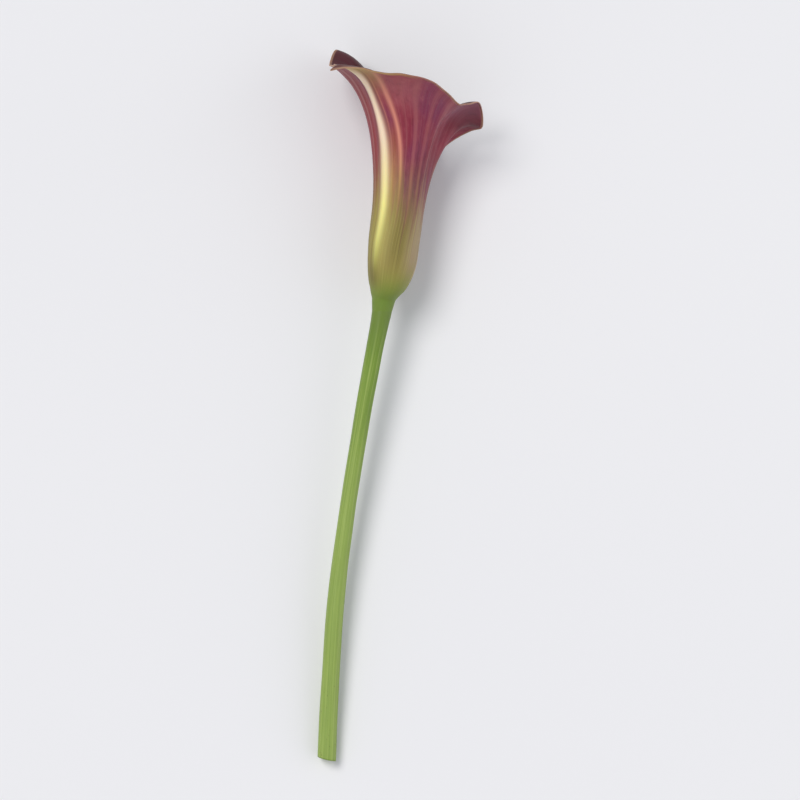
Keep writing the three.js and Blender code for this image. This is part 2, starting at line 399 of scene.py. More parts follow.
@dataclass
class Shell:
    """Points in millimetres, with values stored on each, and the faces between them."""

    points: list[np.ndarray] = field(default_factory=list)
    values: dict[str, list[np.ndarray]] = field(default_factory=dict)
    faces: list[np.ndarray] = field(default_factory=list)
    kinds: list[np.ndarray] = field(default_factory=list)
    count: int = 0

    def add_points(self, points: np.ndarray, **values: Any) -> np.ndarray:
        """Adds points.

        Args:
            points: their places.
            values: what is stored on them: one number for each, or one for all.

        Returns:
            Their numbers.
        """
        points = points.reshape(-1, 3)
        self.points.append(points)
        for key, value in values.items():
            spread = np.broadcast_to(np.asarray(value, float).ravel(), len(points))
            self.values.setdefault(key, []).append(spread)
        self.count += len(points)
        return np.arange(self.count - len(points), self.count)

    def add_faces(self, faces: np.ndarray, kind: int = 0) -> None:
        """Adds quads, or triangles whose last corner is repeated, of one material."""
        self.faces.append(faces)
        self.kinds.append(np.full(len(faces), kind))

    def add_grid(self, numbers: np.ndarray, kind: int = 0, closed: bool = False) -> None:
        """Adds the quads between rows of points.

        Args:
            numbers: the points' numbers, as rows by columns.
            kind: their material.
            closed: whether each row runs round to its start.
        """
        ahead = np.roll(numbers, -1, axis=1)
        quads = np.stack([numbers[:-1], ahead[:-1], ahead[1:], numbers[1:]], -1)
        self.add_faces((quads if closed else quads[:, :-1]).reshape(-1, 4), kind)

    def make(self, name: str, materials: Sequence[bpy.types.Material]) -> bpy.types.Object:
        """A smooth mesh object at the origin, in metres, with its faces pointing out."""
        mesh = bpy.data.meshes.new(name)
        corners = [tuple(dict.fromkeys(face)) for face in np.concatenate(self.faces).tolist()]
        mesh.from_pydata((np.concatenate(self.points) * MM).tolist(), [], corners)
        for key, parts in self.values.items():
            stored = mesh.attributes.new(key, "FLOAT", "POINT")
            stored.data.foreach_set("value", np.concatenate(parts).astype(np.float32))
        for material in materials:
            mesh.materials.append(material)
        mesh.polygons.foreach_set("material_index", np.concatenate(self.kinds).astype(np.int32))
        mesh.shade_smooth()
        mesh.update()
        if volume_of(mesh) < 0:
            mesh.flip_normals()
        thing = bpy.data.objects.new(name, mesh)
        bpy.context.scene.collection.objects.link(thing)
        return thing


def volume_of(mesh: bpy.types.Mesh) -> float:
    """Six times the volume inside a closed mesh: negative if its faces point inwards."""
    mesh.calc_loop_triangles()
    places = np.empty(len(mesh.vertices) * 3)
    mesh.vertices.foreach_get("co", places)
    corners = np.empty(len(mesh.loop_triangles) * 3, int)
    mesh.loop_triangles.foreach_get("vertices", corners)
    a, b, c = places.reshape(-1, 3)[corners.reshape(-1, 3)].transpose(1, 0, 2)
    return float(np.einsum("ij,ij->i", a, np.cross(b, c)).sum())


def hand_over(piece: bpy.types.Object, node: str) -> None:
    """Puts a finished piece under the body, and hides the CAD node that it stands in for."""
    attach(piece, BODY)
    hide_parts(node)
    log.info("%s: %d points, %d faces", piece.name, len(piece.data.vertices), len(piece.data.polygons))


class Sites(Enum):
    """Where copies of a small shape stand: on each point of a mesh, or scattered over its marked faces."""

    POINTS = "points"
    FACES = "faces"


@dataclass(frozen=True)
class Ball:
    """A squashed ball, one part of a small shape that is one unit wide."""

    place: Triple
    size: Triple


@dataclass(frozen=True)
class Copies:
    """Copies of a small shape made of balls, stood on a mesh by Geometry Nodes."""

    name: str
    sites: Sites
    balls: tuple[Ball, ...]
    width: float
    uneven: float = 0.12
    spacing: float = 0.3
    seed: int = 1
    segments: int = 8
    rings: int = 5

    def tree(self) -> bpy.types.NodeTree:
        """The geometry tree, with its sizes as named inputs."""
        tree = bpy.data.node_groups.new(self.name, "GeometryNodeTree")
        for name, kind in (("Geometry", "Geometry"), ("Width", "Float"), ("Uneven", "Float"),
                           ("Spacing", "Float"), ("Seed", "Int"), ("Core", "Object"), ("Finish", "Material")):
            tree.interface.new_socket(name, in_out="INPUT", socket_type=f"NodeSocket{kind}")
        tree.interface.new_socket("Geometry", in_out="OUTPUT", socket_type="NodeSocketGeometry")
        nodes = Nodes(tree)
        given = nodes.add("NodeGroupInput")
        sites, way = self._stand(nodes, given)
        turned = nodes.add("FunctionNodeAlignRotationToVector", {"axis": "Z"}, {"Vector": way})
        spin = nodes.add("FunctionNodeRandomValue", {"data_type": "FLOAT"}, {
            2: 0.0, 3: 2 * math.pi, "Seed": given.out("Seed")}).out(1)
        turned = nodes.add("FunctionNodeRotateRotation", {"rotation_space": "LOCAL"}, {
            "Rotation": turned, "Rotate By": nodes.point(0.0, 0.0, spin)})
        size = nodes.add("FunctionNodeRandomValue", {"data_type": "FLOAT"}, {
            2: 1.0 - given.out("Uneven"), 3: 1.0 + given.out("Uneven"),
            "Seed": given.out("Seed") + 1.0}).out(1)
        stood = nodes.add("GeometryNodeInstanceOnPoints", inputs={
            "Points": sites, "Instance": self._shape(nodes), "Rotation": turned,
            "Scale": size * given.out("Width")})
        real = nodes.add("GeometryNodeRealizeInstances", inputs={"Geometry": stood})
        core = nodes.add("GeometryNodeObjectInfo", inputs={"Object": given.out("Core")}).out("Geometry")
        joined = nodes.add("GeometryNodeJoinGeometry", inputs={"Geometry": [core, real]})
        done = nodes.add("GeometryNodeSetMaterial", inputs={
            "Geometry": joined, "Material": given.out("Finish")})
        nodes.add("NodeGroupOutput", inputs={"Geometry": done})
        return tree

    def _stand(self, nodes: Nodes, given: Sock) -> tuple[Sock, Sock]:
        """The points that copies stand on, and the way each one faces."""
        if self.sites is Sites.POINTS:
            way = nodes.add("GeometryNodeInputNamedAttribute", {"data_type": "FLOAT_VECTOR"}, {"Name": "way"})
            return given.out("Geometry"), way
        marked = nodes.add("GeometryNodeInputNamedAttribute", {"data_type": "FLOAT"}, {"Name": "cut"})
        spread = nodes.add("GeometryNodeDistributePointsOnFaces", {"distribute_method": "POISSON"}, {
            "Mesh": given.out("Geometry"), "Selection": marked.step(0.5, 0.9), "Seed": given.out("Seed"),
            "Distance Min": given.out("Spacing"), "Density Max": DENSE})
        return spread, spread.out("Normal")

    def _shape(self, nodes: Nodes) -> Sock:
        """One copy, one unit wide, standing along +Z, with its height stored as rise."""
        balls = []
        for ball in self.balls:
            whole = nodes.add("GeometryNodeMeshUVSphere", inputs={
                "Segments": self.segments, "Rings": self.rings, "Radius": 0.5})
            balls.append(nodes.add("GeometryNodeTransform", inputs={
                "Geometry": whole, "Translation": ball.place, "Scale": ball.size}))
        joined = nodes.add("GeometryNodeJoinGeometry", inputs={"Geometry": balls})
        place = nodes.add("GeometryNodeInputPosition")
        height = nodes.add("ShaderNodeSeparateXYZ", inputs={0: place}).out("Z")
        stored = nodes.add("GeometryNodeStoreNamedAttribute", {"data_type": "FLOAT", "domain": "POINT"}, {
            "Geometry": joined, "Name": "rise", "Value": height})
        return nodes.add("GeometryNodeSetShadeSmooth", inputs={"Geometry": stored})

    def grow(self, name: str, base: bpy.types.Object, finish: Finish,
             core: bpy.types.Object | None = None) -> bpy.types.Object:
        """Makes the copies as a plain mesh.

        Args:
            name: the new piece's name.
            base: the mesh that they stand on.
            finish: their finish.
            core: a mesh that is joined to them, and then removed.

        Returns:
            The new piece.
        """
        modifier = base.modifiers.new(self.name, "NODES")
        modifier.node_group = self.tree()
        sizes = {"Width": self.width * MM, "Uneven": self.uneven, "Spacing": self.spacing * MM,
                 "Seed": self.seed, "Core": core, "Finish": finish.material()}
        for item in modifier.node_group.interface.items_tree:
            if item.in_out == "INPUT" and sizes.get(item.name) is not None:
                modifier[item.identifier] = sizes[item.name]
        evaluated = base.evaluated_get(bpy.context.evaluated_depsgraph_get())
        mesh = bpy.data.meshes.new_from_object(evaluated)
        base.modifiers.remove(modifier)
        mesh.name = name
        piece = bpy.data.objects.new(name, mesh)
        bpy.context.scene.collection.objects.link(piece)
        if core is not None:
            bpy.data.objects.remove(core)
        return piece


# ----------------------------------------------------------------------------------------------------------
# The spathe
# ----------------------------------------------------------------------------------------------------------

@dataclass(frozen=True)
class Skin:
    """What the petal's paint reads at each point."""

    label: Sock
    height: Sock
    edge: Sock
    tip: Sock
    streaks: Sock
    threads: Sock
    clouds: Sock
    mottle: Sock


@dataclass(frozen=True)
class Patch:
    """Where a tint lies on the petal; every span that is given narrows it."""

    strength: float
    # Bells, each with its centre and width: round the sheet, and up it.
    label: Pair | None = None
    belt: Pair | None = None
    # Soft steps, each with its start and end.
    side: Pair | None = None
    height: Pair | None = None
    edge: Pair | None = None
    tip: Pair | None = None
    streaks: Pair | None = None
    threads: Pair | None = None
    clouds: Pair | None = None
    mottle: Pair | None = None

    def mask(self, skin: Skin) -> Sock:
        """How strongly the tint covers each point."""
        factors = []
        if self.label:
            factors.append(skin.label.bell(*self.label))
        if self.belt:
            factors.append(skin.height.bell(*self.belt))
        if self.side:
            factors.append(skin.label.abs().step(*self.side))
        for name in ("height", "edge", "tip", "streaks", "threads", "clouds", "mottle"):
            span = getattr(self, name)
            if span:
                factors.append(getattr(skin, name).step(*span))
        return math.prod(factors[1:], start=factors[0]) * self.strength


@dataclass(frozen=True)
class Tint:
    """A colour that is laid over the petal in one patch or more."""

    colour: Colour
    patches: tuple[Patch, ...]

    def over(self, nodes: Nodes, skin: Skin, ground: Sock) -> Sock:
        """The ground with this tint on it."""
        masks = [patch.mask(skin) for patch in self.patches]
        return nodes.blend(sum(masks[1:], start=masks[0]), ground, self.colour)


@dataclass(frozen=True)
class Grain:
    """A noise over the petal, drawn out along its growth, and shifted on its hollow side."""

    across: float
    along: float
    shift: float
    detail: float = 3.0
    rough: float = 0.6

    def read(self, nodes: Nodes, label: Sock, run: Sock, inside: Sock) -> Sock:
        """The noise, from 0 to 1."""
        place = nodes.point(label * self.across, run * self.along, inside * self.shift)
        return nodes.noise(place, 1.0, self.detail, self.rough)


@dataclass(frozen=True)
class PetalFinish(Finish):
    """The satin skin of the spathe: olive foot, maroon limb, a cream midrib, fanning veins and a pale rim,
    with painted shade and one painted highlight.
    """

    foot: Colour = srgb(114, 138, 54)
    khaki: Colour = srgb(156, 142, 72)
    pale_khaki: Colour = srgb(190, 178, 104)
    umber: Colour = srgb(104, 90, 44)
    mauve_grey: Colour = srgb(172, 148, 120)
    flush: Colour = srgb(126, 76, 80)
    limb: Colour = srgb(142, 46, 66)
    rust: Colour = srgb(168, 84, 68)
    russet: Colour = srgb(142, 56, 42)
    magenta: Colour = srgb(126, 38, 82)
    thread: Colour = srgb(178, 98, 104)
    greyed_mauve: Colour = srgb(156, 104, 120)
    shade: Colour = srgb(92, 28, 40)
    tan_vein: Colour = srgb(196, 158, 92)
    pink_vein: Colour = srgb(226, 148, 128)
    dusty_vein: Colour = srgb(176, 104, 104)
    # The pale colour of the painted highlight along the flank.
    pale_highlight: Colour = srgb(204, 174, 146)
    green_rib: Colour = srgb(188, 190, 96)
    yellow_rib: Colour = srgb(250, 240, 150)
    cream_rib: Colour = srgb(255, 230, 200)
    tip_tan: Colour = srgb(196, 166, 96)
    rim: Colour = srgb(200, 156, 130)
    inner_throat: Colour = srgb(92, 88, 42)
    # Painted shade on the hollow side: deep in the tube and over the limb.
    inner_deep_shaded: Colour = srgb(50, 10, 14)
    inner_limb_shaded: Colour = srgb(66, 14, 8)
    inner_rib: Colour = srgb(120, 74, 66)

    # The tints on the tube, on the limb, between them, by the tip and on the hollow side, in order.
    tube_tints: tuple[Tint, ...] = (
        Tint(umber, (Patch(0.55, label=(52, 26), height=(4, 20)),)),
        Tint(mauve_grey, (Patch(0.85, side=(58, 100), height=(6, 18)),)),
        # Painted shadow, in umber, down the left of the tube and over its foot.
        Tint(umber, (Patch(0.75, label=(-54, 18), height=(0, 8)),
                     Patch(0.75, label=(-8, 24), belt=(9, 7), height=(0, 8)))),
        Tint(umber, (Patch(0.5, height=(6, 18), streaks=(0.5, 0.72)),)),
        Tint(pale_khaki, (Patch(0.45, height=(-3, 10), threads=(0.45, 0.75)),
                          Patch(0.4, label=(14, 14), belt=(22, 13)))))
    limb_tints: tuple[Tint, ...] = (
        Tint(rust, (Patch(0.7, label=(13, 12), height=(92, 60)),)),
        Tint(magenta, (Patch(0.75, clouds=(0.46, 0.64)),)),
        Tint(thread, (Patch(0.4, threads=(0.42, 0.72)),)),
        Tint(thread, (Patch(0.65, label=(42, 20), height=(68, 79)),
                      Patch(0.3, mottle=(0.5, 0.75)))),
        # Painted shade under the lip's curled edge; also darker over the middle of the limb and in random
        # mottling.
        Tint(shade, (Patch(0.75, label=(144, 14), height=(62, 70)),
                     Patch(0.3, label=(70, 22), belt=(52, 14)),
                     Patch(0.3, mottle=(0.5, 0.25)))),
        Tint(russet, (Patch(0.55, label=(-34, 18)),)),
        # A lighter, greyer mauve on the lip and over the limb's right side.
        Tint(greyed_mauve, (Patch(0.75, label=(120, 18), height=(68, 76)),
                     Patch(0.25, label=(96, 30), height=(48, 66), streaks=(0.35, 0.65)))))
    waist_tints: tuple[Tint, ...] = (Tint(tan_vein, (Patch(0.35, label=(20, 10), belt=(47, 12)),)),)
    tip_tints: tuple[Tint, ...] = (
        Tint(tip_tan, (Patch(0.8, tip=(36, 22), edge=(1.9, 0.9)),)),
        Tint(tip_tan, (Patch(0.8, tip=(18, 7), side=(20, 8)),)))
    hollow_tints: tuple[Tint, ...] = (
        Tint(magenta, (Patch(0.15, clouds=(0.45, 0.8)),)),
        Tint(thread, (Patch(0.08, threads=(0.5, 0.8)),)),
        Tint(inner_deep_shaded, (Patch(0.5, streaks=(0.5, 0.2)),)),
        Tint(inner_rib, (Patch(0.6, label=(0, 8)),)))

    # Heights over which the foot turns khaki, the limb turns maroon, and the one gives way to the other. The
    # flush of the limb wanders with the streaks, and dips down both sides and along one vein.
    foot_span: Pair = (-2, 15)
    limb_span: Pair = (42, 62)
    flush_span: Pair = (28, 54)
    flush_wander: float = 36
    side_span: Pair = (58, 100)
    side_dip: float = 4
    vein_dip: float = 8
    dipping_vein: Pair = (64, 24)

    # The fainter veins outside: label, width and strength. They wander with the streaks.
    veins: Rows = ((42, 2.0, 0.25), (57, 3.4, 0.5), (76, 3.0, 0.4), (92, 3.0, 0.45), (108, 2.6, 0.3),
                   (-22, 2.0, 0.3), (-34, 3.6, 0.5), (-58, 3.2, 0.4), (-80, 3.0, 0.45), (-104, 3.2, 0.4),
                   (-136, 3.0, 0.35))
    vein_wander: float = 5
    vein_rise: Pair = (24, 54)
    vein_fade: Step = (90, 76, 0.4, 1.0)
    dusty_span: Pair = (36, 56)
    # Where the bright stripe lies: two heights, and the label at each. A thin one runs beside it, nearer the
    # midrib by a share.
    stripe_fan: Step = (84, 46, 23.5, 33.5)
    stripe_width: float = 3.7
    stripe_strength: float = 0.8
    stripe_patchy: float = 1.2
    pink_span: Pair = (42, 60)
    thin_place: float = 0.45
    thin_width: float = 1.5
    thin_strength: float = 0.5
    # A painted highlight along the flank's contour, drawn as a pale vein low on the flank: where it lies, its
    # two ends, and how it breaks with the streaks.
    highlight_band: Pair = (137, 5.5)
    highlight_low: Pair = (5, 14)
    highlight_high: Pair = (60, 40)
    highlight_broken: Step = (0.2, 0.55, 0.5, 0.85)

    # The midrib: its breadth at two heights, its ragged edge, where it starts, the heights of its colours,
    # and the painted shade along both its sides.
    rib_breadth: Step = (84, 42, 4.9, 9.6)
    rib_ragged: float = 2
    rib_start: Pair = (6, 24)
    rib_colours: Pair = (10, 62)
    beside_rib: Pair = (1.7, 0.55)
    beside_span: Pair = (45, 62)
    beside_strength: float = 0.35
    # The golden skin by the tip: how near the tip, from how far across the midrib, and to which label.
    golden_tip: Pair = (30, 8)
    golden_across: Pair = (0.2, 1.2)
    golden_label: Pair = (34, 18)
    golden_strength: float = 0.85

    # The pale rim: its breadth, how it comes and goes, where it starts, and the stretch where it is faint.
    rim_span: Pair = (0.9, 0.1)
    rim_broken: Step = (0.25, 0.6, 0.35, 0.9)
    rim_start: Pair = (-1, 16)
    rim_faint: Pair = (46, 26)
    rim_faintness: float = 0.75

    streaks: Grain = Grain(0.15, 0.012, 9.0)
    threads: Grain = Grain(0.7, 0.022, 5.0, rough=0.65)
    clouds: Grain = Grain(0.02, 0.04, 7.0, detail=2.0, rough=0.5)
    mottle: Grain = Grain(0.16, 0.24, 3.0, detail=4.0)

    name = "petal_satin"
    shine = Shine(coat=0.04, coat_roughness=0.3, through=0.12, depth=0.001, gloss=0.3)

    def paint(self, nodes: Nodes) -> Look:
        """The two faces of the sheet, and the pale line along its edge."""
        label, run, inside = nodes.reads("label"), nodes.reads("run"), nodes.reads("inside")
        noises = {name: getattr(self, name).read(nodes, label, run, inside)
                  for name in ("streaks", "threads", "clouds", "mottle")}
        skin = Skin(label, nodes.reads("height"), nodes.reads("edge"), nodes.reads("tip"), **noises)
        colour = nodes.blend(inside, self._outside(nodes, skin), self._hollow(nodes, skin))
        rim = skin.edge.step(*self.rim_span) * skin.clouds.step(*self.rim_broken)
        rim = rim * skin.height.step(*self.rim_start) * (1 - label.bell(*self.rim_faint) * self.rim_faintness)
        colour = nodes.blend(rim, colour, self.rim)
        place = nodes.add("ShaderNodeTexCoord").out("Object")
        grain = nodes.noise(place, 3500.0, 1.0)
        relief = skin.streaks * 0.55 + skin.threads * 0.3 + grain * 0.15
        return Look(colour, 0.4 + 0.2 * skin.threads + 0.05 * inside, relief, 0.00016)

    @staticmethod
    def _tinted(nodes: Nodes, skin: Skin, ground: Sock, tints: Sequence[Tint]) -> Sock:
        """The ground with each tint laid on it in turn."""
        for tint in tints:
            ground = tint.over(nodes, skin, ground)
        return ground

    def _outside(self, nodes: Nodes, skin: Skin) -> Sock:
        """The colour of the side that shows."""
        low = nodes.blend(skin.height.step(*self.foot_span), self.foot, self.khaki)
        low = self._tinted(nodes, skin, low, self.tube_tints)
        high = nodes.blend(skin.height.step(*self.limb_span), self.flush, self.limb)
        high = self._tinted(nodes, skin, high, self.limb_tints)
        side = skin.label.abs().step(*self.side_span)
        dipping = side * self.side_dip + skin.label.bell(*self.dipping_vein) * self.vein_dip
        flushed = skin.height + (skin.streaks - 0.5) * self.flush_wander + dipping
        colour = nodes.blend(flushed.step(*self.flush_span), low, high)
        colour = self._tinted(nodes, skin, colour, self.waist_tints)
        colour = self._midrib(nodes, skin, self._vein(nodes, skin, colour))
        return self._tinted(nodes, skin, colour, self.tip_tints)

    def _vein(self, nodes: Nodes, skin: Skin, colour: Sock) -> Sock:
        """Draws the fanning veins over a colour: fainter ones, one bright stripe, and a painted highlight on
        the flank drawn as a pale vein.
        """
        wandering = skin.label + (skin.streaks - 0.5) * self.vein_wander
        fade = skin.height.step(*self.vein_rise) * skin.height.step(*self.vein_fade)
        faint = nodes.blend(skin.height.step(*self.dusty_span), self.tan_vein, self.dusty_vein)
        for place, width, strength in self.veins:
            colour = nodes.blend(wandering.bell(place, width) * strength * fade, colour, faint)
        place = skin.height.step(*self.stripe_fan)
        stripe = nodes.blend(skin.height.step(*self.pink_span), self.tan_vein, self.pink_vein)
        thin = (wandering - place * self.thin_place).bell(0, self.thin_width) * self.thin_strength
        colour = nodes.blend(thin * fade, colour, stripe)
        patchy = self.stripe_strength + (skin.streaks - 0.5) * self.stripe_patchy
        broad = (wandering - place).bell(0, self.stripe_width) * patchy
        colour = nodes.blend(broad * fade, colour, stripe)
        # Painted highlight along the flank's contour, shaped like a pale vein.
        highlight = skin.label.bell(*self.highlight_band) * skin.height.step(*self.highlight_low)
        highlight = highlight * skin.height.step(*self.highlight_high) * skin.streaks.step(*self.highlight_broken)
        return nodes.blend(highlight, colour, self.pale_highlight)

    def _midrib(self, nodes: Nodes, skin: Skin, colour: Sock) -> Sock:
        """Draws the midrib over a colour, with painted shade along both sides, and the golden skin right of
        its tip.
        """
        breadth = skin.height.step(*self.rib_breadth)
        across = (skin.label + (skin.threads - 0.5) * self.rib_ragged) / breadth
        golden = skin.tip.step(*self.golden_tip) * across.step(*self.golden_across)
        golden = golden * skin.label.step(*self.golden_label) * self.golden_strength
        colour = nodes.blend(golden, colour, self.tip_tan)
        # Painted shade along both sides of the raised midrib.
        away, width = self.beside_rib
        beside = (across.abs() - away).bell(0, width) * skin.height.step(*self.beside_span)
        colour = nodes.blend(beside * self.beside_strength, colour, self.shade)
        rib = nodes.ramp(skin.height, *self.rib_colours, (self.green_rib, self.yellow_rib, self.cream_rib))
        return nodes.blend(across.bell(0, 1) * skin.height.step(*self.rib_start), colour, rib)

    def _hollow(self, nodes: Nodes, skin: Skin) -> Sock:
        """The colour of the hollow side, in painted shade: darkest deep in the tube, and dark over the limb.
        """
        colours = (self.inner_throat, self.inner_deep_shaded, self.inner_deep_shaded, self.inner_limb_shaded)
        return self._tinted(nodes, skin, nodes.ramp(skin.height, 0, 70, colours), self.hollow_tints)


@dataclass
class Spathe:
    """The rolled sheet: a leaning tube that flares to a pointed limb, its margins lapped at the far side."""

    # The rim: bearing, radius, height, and how far it leans out from upright in degrees.
    rim: Rows = (
        (-210, 9.25, 21, 3), (-202, 9.3, 31, 4), (-186, 10.5, 49, 20), (-168, 20.5, 62, 62),
        (-150, 28.2, 70, 88), (-128, 28.6, 76, 90), (-106, 32, 82, 88), (-86, 33.5, 88, 84),
        (-68, 33, 91, 78), (-45, 32.5, 85, 82), (-20, 35, 85, 92), (0, 40, 85.5, 98),
        (20, 33.8, 84.6, 85), (45, 29.4, 84.3, 66), (68, 26.2, 81.4, 60), (90, 23.6, 76.6, 60),
        (105, 23.6, 76.5, 72), (123, 26, 77.5, 90), (140, 27.5, 69.4, 118), (157, 24.6, 67.1, 108),
        (172, 17.3, 60, 64), (186, 11.9, 47.5, 26), (202, 9.3, 31, 5), (210, 9.25, 21, 3))
    end_bearing: float = 210
    tube_radius: float = 8.65
    foot_drop: float = 4.95
    foot_fade: float = 4.5
    tube_widening: float = 0.01
    skirt: float = 8
    skirt_radius: float = 3.86
    skirt_softness: float = 0.45
    skirt_tuck: float = 0.5
    skirt_bend: float = 0.0035
    # How far the foot stands to the left of the tube's axis, then to the right of it, and where it does both.
    foot_left: float = 0.9
    foot_right: float = 0.7
    foot_span: Pair = (-1.5, 4.5)
    foot_back: Pair = (6, 24)
    # How far the tube's right side is drawn in above its foot, at what height and over what length.
    waist: float = 1.9
    waist_place: Pair = (4.5, 7.5)
    waist_start: Pair = (-1.5, 3)
    flare_start: float = 32
    flare_stiffness: float = 0.6
    left_fullness: float = 0.29
    left_bearing: Pair = (-44, 34)
    rim_stiffness: float = 0.3
    tube_only: Pair = (20, 48)
    hook: Triple = (6.4, -3.2, 40)
    hook_width: float = 3.6
    hook_power: float = 1.2
    hook_reach: Pair = (0.8, 1.0)
    midrib_foot: float = -50
    midrib_top: float = -42.5
    midrib_rise: float = 56
    foot_half: float = 184
    overlap_length: float = 20
    overlap_offset: float = 1.7
    overlap_side: Pair = (100, 175)
    overlap_foot: float = 0.12
    overlap_rise: float = 8
    wall: float = 1.15
    edge: float = 0.5
    edge_taper: float = 7
    foot_edge: float = 0.16
    foot_taper: float = 12
    rim_rest: float = 0.27
    rim_softness: float = 1.2
    # The veins bend towards the tip, most of all at one label, and drift round the tube up to the limb, and
    # more or less of it about two heights: degrees, run and breadth.
    bend: float = 11
    bend_label: float = 30
    bend_span: Pair = (40, 95)
    drift: float = 4.5
    drift_span: Pair = (58, 86)
    drifts: Rows = ((6.5, 34, 14), (-2.6, 80, 12))
    # Slow waves in the limb, flutes along the veins, a frill by the rim, and where each begins.
    waves: Waves = Waves(0.5, 70, 60, 11)
    waves_span: Pair = (45, 88)
    flutes: Waves = Waves(0.16, 17, 400, 5)
    flutes_span: Pair = (20, 60)
    frill: Waves = Waves(0.35, 26, 50, 8)
    frill_reach: Pair = (9, 0)
    # How high above the floor the waves begin.
    resting: Pair = (0.5, 6)
    veins: Waves = Waves(0.05, 5.5, 500, 21)
    veins_span: Pair = (8, 40)
    # The midrib's ridge outside and its groove inside: depth, half breadth in degrees, and where each begins.
    ridge: Pair = (0.45, 6)
    ridge_span: Pair = (3, 30)
    groove: Pair = (0.25, 5)
    groove_span: Pair = (40, 70)
    # The rim counts as a side's own up to this far past the midrib, in degrees.
    past_midrib: float = 60
    columns: int = 311
    rows: int = 148
    level_rows: int = 26
    level_reach: float = 18
    tip_crowding: float = 1.3
    edge_steps: int = 4
    # Where in the edge strip the outer face's paint gives way to the inner's.
    edge_turn: Pair = (0.2, 0.8)
    # How many rows or columns inward the way off the border is taken from.
    inset: int = 2
    finish: Finish = field(default_factory=PetalFinish)

    def _tube(self, z: np.ndarray) -> np.ndarray:
        """The tube's radius at a height; below its foot it hugs the stem and runs into it."""
        widening = self.tube_radius - self.foot_drop * np.exp(-z / self.foot_fade) + self.tube_widening * z
        hugging = self.skirt_radius - self.skirt_tuck * smooth(-z, 0, self.skirt)
        return soft_max(widening, hugging, self.skirt_softness)

    def _lateral(self, z: np.ndarray) -> np.ndarray:
        """How far the sheet stands to the right of the tube's axis: its foot is askew, its skirt bent."""
        step = (self.foot_left + self.foot_right) * smooth(z, *self.foot_span)
        bend = self.skirt_bend * np.minimum(z, 0) ** 2
        return step - self.foot_left - self.foot_right * smooth(z, *self.foot_back) - bend

    def _columns(self, bearing: np.ndarray) -> tuple[np.ndarray, np.ndarray, np.ndarray]:
        """The sheet's columns, from the foot to the rim, drawn out at the end into the curled tip.

        Args:
            bearing: one for each column.

        Returns:
            Radius and height at each point of each column, and the columns' lengths.
        """
        plain = np.array(read_curve(self.rim, bearing))
        hooked = plain + np.outer(self.hook, np.exp(-np.abs(bearing / self.hook_width) ** self.hook_power))
        near_tip = smooth(np.linspace(0, 1, self.rows)[:, None], *self.hook_reach)
        radius, height = (mix(a, b, near_tip) for a, b in zip(self._profile(bearing, plain),
                                                              self._profile(bearing, hooked)))
        return radius, height, lengths(radius, height)[-1]

    def _stations(self, length: np.ndarray) -> np.ndarray:
        """How far along its column each point is: in level rows round the foot, then evenly to the rim."""
        level = np.linspace(0, self.level_reach, self.level_rows)[:, None]
        even = np.linspace(0, 1, self.rows - self.level_rows + 1)[1:, None]
        return np.concatenate([level + 0 * length, mix(self.level_reach, length, even)])

    def _profile(self, bearing: np.ndarray, rim: np.ndarray, samples: int = 160) -> list[np.ndarray]:
        """How the sheet rises and flares from its foot to a rim.

        Args:
            bearing: one for each column.
            rim: the radius, the height and the lean that each column ends with.
            samples: points along each of the tube's and the flare's stretch.

        Returns:
            Radius and height at each point of each column.
        """
        radius, height, turn = rim
        turn = np.radians(turn)
        start = np.minimum(self.flare_start, height / 2)
        foot = self._tube(start)
        slope = self.foot_drop / self.foot_fade * np.exp(-start / self.foot_fade) + self.tube_widening
        fuller = self.left_fullness * bell(bearing, *self.left_bearing)
        rise = (self.flare_stiffness - fuller) * (height - start)
        reach = self.rim_stiffness * np.hypot(radius - foot, height - start)
        corners = [(foot, start), (foot + slope * rise, start + rise),
                   (radius - reach * np.sin(turn), height - reach * np.cos(turn)), (radius, height)]
        t = np.linspace(0, 1, samples)[:, None]
        weights = [(1 - t) ** 3, 3 * (1 - t) ** 2 * t, 3 * (1 - t) * t ** 2, t ** 3]
        flared = smooth(height, *self.tube_only)
        straight = mix(start, height, t)
        flare_r = mix(self._tube(straight), sum(w * c[0] for w, c in zip(weights, corners)), flared)
        flare_z = mix(straight, sum(w * c[1] for w, c in zip(weights, corners)), flared)
        tube_z = mix(-self.skirt, start, t)
        r = np.concatenate([self._tube(tube_z), flare_r[1:]])
        z = np.concatenate([tube_z, flare_z[1:]])
        run = lengths(r, z)
        at = self._stations(run[-1])
        return [np.array([np.interp(at[:, j], run[:, j], v[:, j]) for j in range(len(bearing))]).T
                for v in (r, z)]

